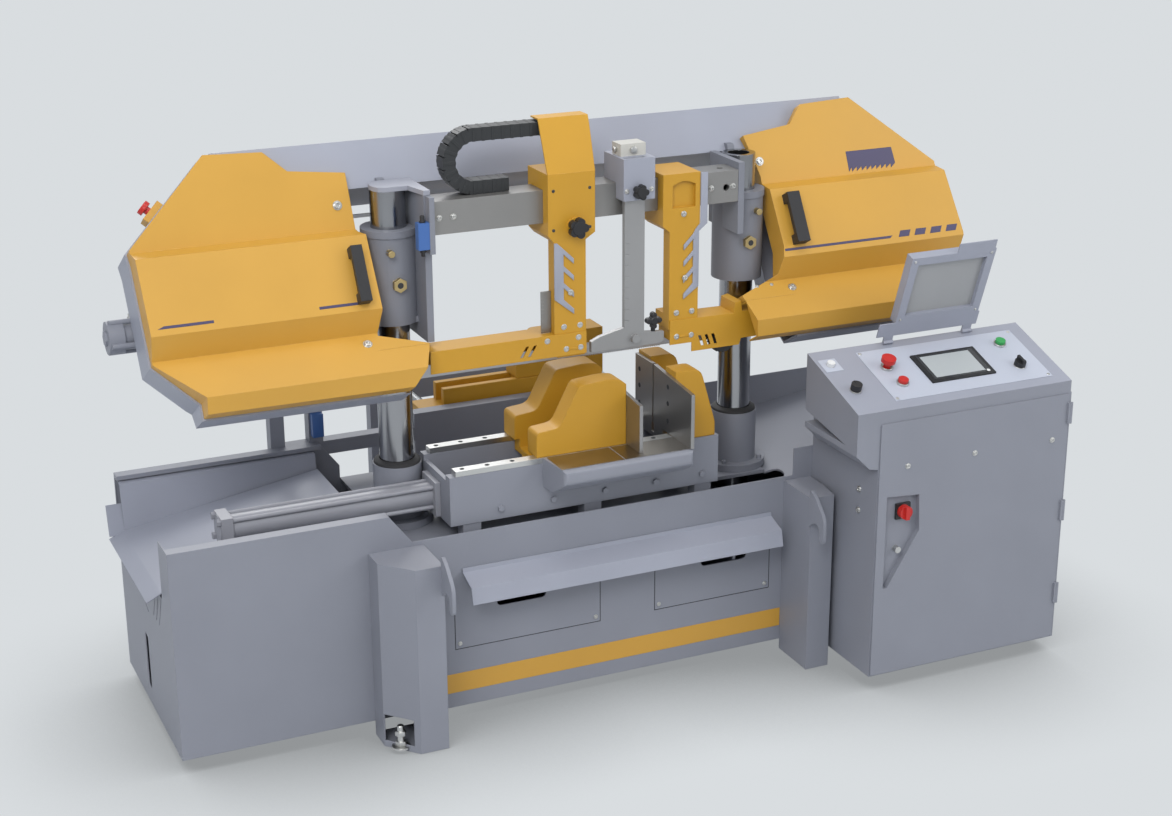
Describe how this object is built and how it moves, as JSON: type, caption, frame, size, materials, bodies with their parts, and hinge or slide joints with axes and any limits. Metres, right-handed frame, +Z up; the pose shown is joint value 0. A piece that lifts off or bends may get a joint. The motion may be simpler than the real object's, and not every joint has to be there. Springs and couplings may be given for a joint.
{
  "type": "horizontal band saw",
  "caption": "Double-column horizontal band saw: tilted blade bow on lifting columns over a vise, with console cabinet, chip chute and rear bar feed.",
  "frame": {"origin": "on the floor, in the middle of the machine's footprint", "axes": "+X along the blade towards the control cabinet, +Y from the operator to the bar feed, +Z up"},
  "size_m": [2.455, 1.4066, 1.547],
  "materials": {
    "yellow_paint": "semi-gloss yellow enamel",
    "grey_paint": "semi-gloss blue-grey enamel",
    "pale_grey_paint": "semi-gloss pale grey enamel",
    "cast_grey": "painted casting",
    "ground_steel": "ground and oiled",
    "chrome": "hard-chromed and polished",
    "black_plastic": "black moulding",
    "red_plastic": "red moulding",
    "green_plastic": "green moulding"
  },
  "bodies": {
    "base": {"left_housing": "grey_paint", "chip_chute": "grey_paint", "base_frame": "grey_paint", "front_panel": "grey_paint", "drip_shelf": "grey_paint", "left_post": "grey_paint", "right_post": "grey_paint", "column_base_left": "grey_paint", "column_base_right": "grey_paint", "lift_ram": "chrome", "vise_bed": "grey_paint", "vise_rail_front": "ground_steel", "vise_rail_rear": "ground_steel", "work_tray": "grey_paint", "fixed_jaw": "yellow_paint", "fixed_jaw_plate": "ground_steel", "clamp_cylinder": "ground_steel", "cabinet": "grey_paint", "feed_frame": "grey_paint"},
    "bow": {"bow_sleeve_left": "grey_paint", "bow_sleeve_right": "grey_paint", "column_left": "chrome", "column_right": "chrome", "back_beam": "pale_grey_paint", "wheel_housing_left": "pale_grey_paint", "wheel_housing_right": "pale_grey_paint", "guide_beam": "ground_steel", "saw_blade": "ground_steel", "guide_arm_right": "yellow_paint", "blade_guard_right": "yellow_paint", "tension_cylinder": "grey_paint", "gear_motor": "grey_paint", "feeler_block": "grey_paint", "cable_chain": "black_plastic", "bow_stop_box": "yellow_paint"},
    "vise_slide": {"moving_jaw": "yellow_paint", "moving_jaw_plate": "ground_steel", "clamp_rod": "chrome"},
    "blade_tensioner": {"idler_carriage": "cast_grey"},
    "idler": {"idler_wheel": "cast_grey"},
    "driver": {"drive_wheel": "cast_grey"},
    "left_cover": {"wheel_cover_left": "yellow_paint"},
    "right_cover": {"wheel_cover_right": "yellow_paint"},
    "left_arm": {"guide_arm_left": "yellow_paint", "blade_guard_left": "yellow_paint"},
    "arm_clamp": {"arm_knob": "black_plastic"},
    "feeler": {"feeler_bar": "ground_steel"},
    "feeler_clamp": {"feeler_knob": "black_plastic"},
    "brush": {"chip_brush": "black_plastic"},
    "bow_stop_head": {"bow_estop": "red_plastic"},
    "door": {"cabinet_door": "grey_paint"},
    "power_switch": {"main_switch": "red_plastic"},
    "lid": {"console_lid": "grey_paint"},
    "estop": {"estop_button": "red_plastic"},
    "stop": {"stop_button": "red_plastic"},
    "start": {"start_button": "green_plastic"},
    "selector": {"mode_selector": "black_plastic"},
    "speed": {"speed_knob": "black_plastic"},
    "feed": {"feed_carriage": "yellow_paint"},
    "rear_jaw": {"rear_jaw_left": "yellow_paint"}
  },
  "joints": [
    {"name": "bow_lift", "type": "slide", "parent": "base", "child": "bow", "axis": [0, 0, 1], "range_m": [-0.232, 0.095]},
    {"name": "vise_clamp", "type": "slide", "parent": "base", "child": "vise_slide", "axis": [1, 0, 0], "range_m": [-0.21, 0.12]},
    {"name": "blade_tension", "type": "slide", "parent": "bow", "child": "blade_tensioner", "axis": [1, 0, 0], "range_m": [0, 0.02]},
    {"name": "drive_spin", "type": "hinge", "parent": "bow", "child": "driver", "pos_m": [0.8685, -0.089, 1.10654], "axis": [0, 0.866, -0.5], "continuous": true},
    {"name": "idler_spin", "type": "hinge", "parent": "blade_tensioner", "child": "idler", "pos_m": [-0.8715, -0.089, 1.10654], "axis": [0, 0.866, -0.5], "continuous": true},
    {"name": "left_cover_hinge", "type": "hinge", "parent": "bow", "child": "left_cover", "pos_m": [-1.1695, -0.15039, 1.12421], "axis": [0, -0.5, -0.866], "range_deg": [0, 105]},
    {"name": "right_cover_hinge", "type": "hinge", "parent": "bow", "child": "right_cover", "pos_m": [1.1665, -0.15039, 1.12421], "axis": [0, 0.5, 0.866], "range_deg": [0, 17]},
    {"name": "arm_travel", "type": "slide", "parent": "bow", "child": "left_arm", "axis": [1, 0, 0], "range_m": [-0.18, 0], "deforming": ["cable_chain"]},
    {"name": "arm_knob_turn", "type": "hinge", "parent": "left_arm", "child": "arm_clamp", "pos_m": [-0.0535, -0.2647, 1.272], "axis": [0, -1, 0], "range_deg": [-180, 180]},
    {"name": "feeler_travel", "type": "slide", "parent": "bow", "child": "feeler", "axis": [0, 0, 1], "range_m": [-0.0951, 0.2321]},
    {"name": "feeler_knob_turn", "type": "hinge", "parent": "bow", "child": "feeler_clamp", "pos_m": [0.1205, -0.2727, 1.35], "axis": [0, -1, 0], "range_deg": [-180, 180]},
    {"name": "brush_spin", "type": "hinge", "parent": "bow", "child": "brush", "pos_m": [0.3945, -0.2167, 0.908], "axis": [0, -1, 0], "continuous": true},
    {"name": "bow_stop_press", "type": "slide", "parent": "bow", "child": "bow_stop_head", "axis": [-0.7071, 0.3536, 0.6124], "range_m": [-0.006, 0]},
    {"name": "door_hinge", "type": "hinge", "parent": "base", "child": "door", "pos_m": [1.2225, -0.69, 0.4], "axis": [0, 0, 1], "range_deg": [0, 110]},
    {"name": "power_switch_turn", "type": "hinge", "parent": "door", "child": "power_switch", "pos_m": [0.7045, -0.6967, 0.512], "axis": [0, -1, 0], "range_deg": [0, 90]},
    {"name": "lid_hinge", "type": "hinge", "parent": "base", "child": "lid", "pos_m": [0.9245, -0.43036, 0.89958], "axis": [1, 0, 0], "range_deg": [0, 88]},
    {"name": "estop_press", "type": "slide", "parent": "base", "child": "estop", "axis": [0, -0.3256, 0.9455], "range_m": [-0.006, 0]},
    {"name": "stop_press", "type": "slide", "parent": "base", "child": "stop", "axis": [0, -0.3256, 0.9455], "range_m": [-0.004, 0], "stiffness_N_per_m": 700},
    {"name": "start_press", "type": "slide", "parent": "base", "child": "start", "axis": [0, -0.3256, 0.9455], "range_m": [-0.004, 0], "stiffness_N_per_m": 700},
    {"name": "mode_turn", "type": "hinge", "parent": "base", "child": "selector", "pos_m": [1.1125, -0.59808, 0.84606], "axis": [0, -0.3256, 0.9455], "range_deg": [-45, 45]},
    {"name": "speed_turn", "type": "hinge", "parent": "base", "child": "speed", "pos_m": [0.5955, -0.59335, 0.84769], "axis": [0, -0.3256, 0.9455], "range_deg": [-135, 135]},
    {"name": "feed_stroke", "type": "slide", "parent": "base", "child": "feed", "axis": [0, 1, 0], "range_m": [-0.01, 0.25]},
    {"name": "rear_jaw_clamp", "type": "slide", "parent": "feed", "child": "rear_jaw", "axis": [1, 0, 0], "range_m": [-0.2, 0.08]}
  ],
  "couplings": [
    {"joint": "idler_spin", "follows": "drive_spin", "ratio": 1},
    {"joint": "feeler_travel", "follows": "bow_lift", "ratio": -1}
  ]
}
